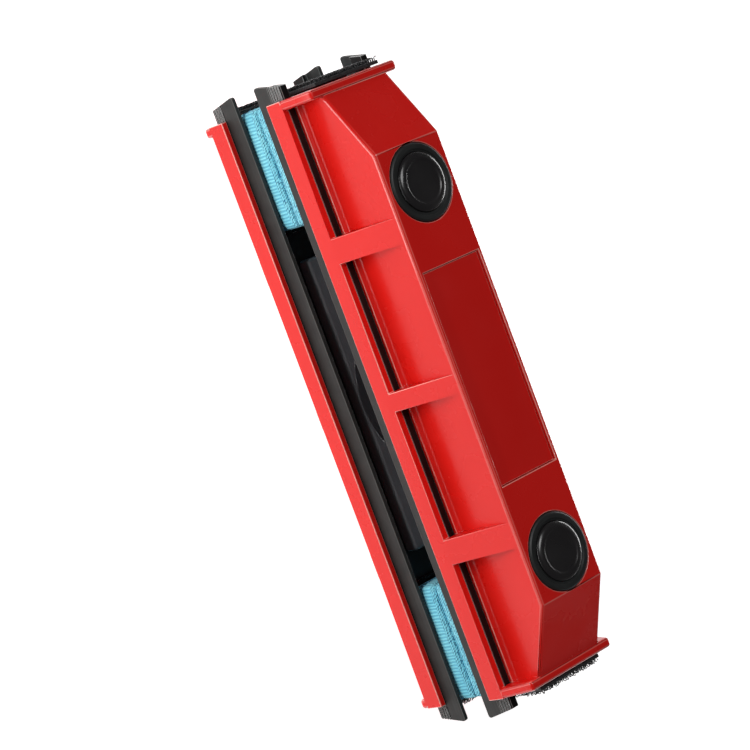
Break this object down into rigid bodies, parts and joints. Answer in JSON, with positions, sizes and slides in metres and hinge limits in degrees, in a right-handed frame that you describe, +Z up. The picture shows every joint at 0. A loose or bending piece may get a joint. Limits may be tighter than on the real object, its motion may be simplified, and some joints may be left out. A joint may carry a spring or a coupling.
{
  "type": "magnetic glass cleaner",
  "caption": "Double-sided magnetic glass cleaner: a tall and a slim red unit with squeegee blades and microfibre pads that hold each other through the glass.",
  "frame": {"origin": "centre of the lower unit's flat back, on the surface that the cleaner rests on", "axes": "+X along the cleaner, +Y across it, +Z up from the lower unit to the upper unit"},
  "size_m": [0.2554, 0.0544, 0.0854],
  "materials": {
    "shell": "glossy moulded ABS, polished faces, slightly rounded edges",
    "label": "satin blank plate moulded in red",
    "rubber": "matt dark grey squeegee rubber",
    "carrier": "glossy black extruded carrier with fine ridges",
    "microfibre": "light blue knitted microfibre over foam",
    "hook": "black woven hook tape with short stiff hooks",
    "frame": "black moulded plastic, fine grain",
    "housing": "dark grey moulded plastic, satin",
    "magnet": "nickel-plated block magnet",
    "steel": "zinc-plated steel sheet",
    "screw": "zinc-plated steel screw",
    "ring": "black satin moulded ring",
    "cap": "black semi-gloss moulded cap"
  },
  "bodies": {
    "lower_unit": {"lower_casing": "shell", "lower_base_frame": "frame", "lower_magnet_housing": "housing", "lower_keeper_plate": "steel", "lower_magnet_left": "magnet", "lower_hook_tape_left": "hook", "lower_casing_screw_left": "screw", "lower_plug_left": "cap", "lower_magnet_right": "magnet", "lower_hook_tape_right": "hook", "lower_casing_screw_right": "screw", "lower_plug_right": "cap", "lower_keeper_screw_1": "screw", "lower_keeper_screw_2": "screw", "lower_keeper_screw_3": "screw", "lower_keeper_screw_4": "screw"},
    "upper_unit": {"upper_casing": "shell", "upper_base_frame": "frame", "upper_magnet_housing": "housing", "upper_keeper_plate": "steel", "upper_magnet_left": "magnet", "upper_hook_tape_left": "hook", "upper_casing_screw_left": "screw", "upper_ring_left": "ring", "upper_cap_left": "cap", "upper_magnet_right": "magnet", "upper_hook_tape_right": "hook", "upper_casing_screw_right": "screw", "upper_ring_right": "ring", "upper_cap_right": "cap", "upper_keeper_screw_1": "screw", "upper_keeper_screw_2": "screw", "upper_keeper_screw_3": "screw", "upper_keeper_screw_4": "screw", "upper_label_plate": "label"},
    "upper_front_blade": {"upper_blade_front": "rubber", "upper_blade_carrier_front": "carrier"},
    "upper_rear_blade": {"upper_blade_rear": "rubber", "upper_blade_carrier_rear": "carrier"},
    "upper_left_pad": {"upper_pad_left": "microfibre"},
    "upper_right_pad": {"upper_pad_right": "microfibre"},
    "lower_front_blade": {"lower_blade_front": "rubber", "lower_blade_carrier_front": "carrier"},
    "lower_rear_blade": {"lower_blade_rear": "rubber", "lower_blade_carrier_rear": "carrier"},
    "lower_left_pad": {"lower_pad_left": "microfibre"},
    "lower_right_pad": {"lower_pad_right": "microfibre"}
  },
  "joints": [
    {"name": "upper_unit_lift", "type": "slide", "parent": "lower_unit", "child": "upper_unit", "axis": [0, 0, 1], "range_m": [0, 0.08]},
    {"name": "upper_front_blade_slide", "type": "slide", "parent": "upper_unit", "child": "upper_front_blade", "axis": [1, 0, 0], "range_m": [0, 0.12]},
    {"name": "upper_rear_blade_slide", "type": "slide", "parent": "upper_unit", "child": "upper_rear_blade", "axis": [1, 0, 0], "range_m": [0, 0.12]},
    {"name": "upper_left_pad_release", "type": "slide", "parent": "upper_unit", "child": "upper_left_pad", "axis": [-1, 0, 0], "range_m": [0, 0.055]},
    {"name": "upper_right_pad_release", "type": "slide", "parent": "upper_unit", "child": "upper_right_pad", "axis": [1, 0, 0], "range_m": [0, 0.055]},
    {"name": "lower_front_blade_slide", "type": "slide", "parent": "lower_unit", "child": "lower_front_blade", "axis": [1, 0, 0], "range_m": [0, 0.12]},
    {"name": "lower_rear_blade_slide", "type": "slide", "parent": "lower_unit", "child": "lower_rear_blade", "axis": [1, 0, 0], "range_m": [0, 0.12]},
    {"name": "lower_left_pad_release", "type": "slide", "parent": "lower_unit", "child": "lower_left_pad", "axis": [-1, 0, 0], "range_m": [0, 0.055]},
    {"name": "lower_right_pad_release", "type": "slide", "parent": "lower_unit", "child": "lower_right_pad", "axis": [1, 0, 0], "range_m": [0, 0.055]}
  ]
}
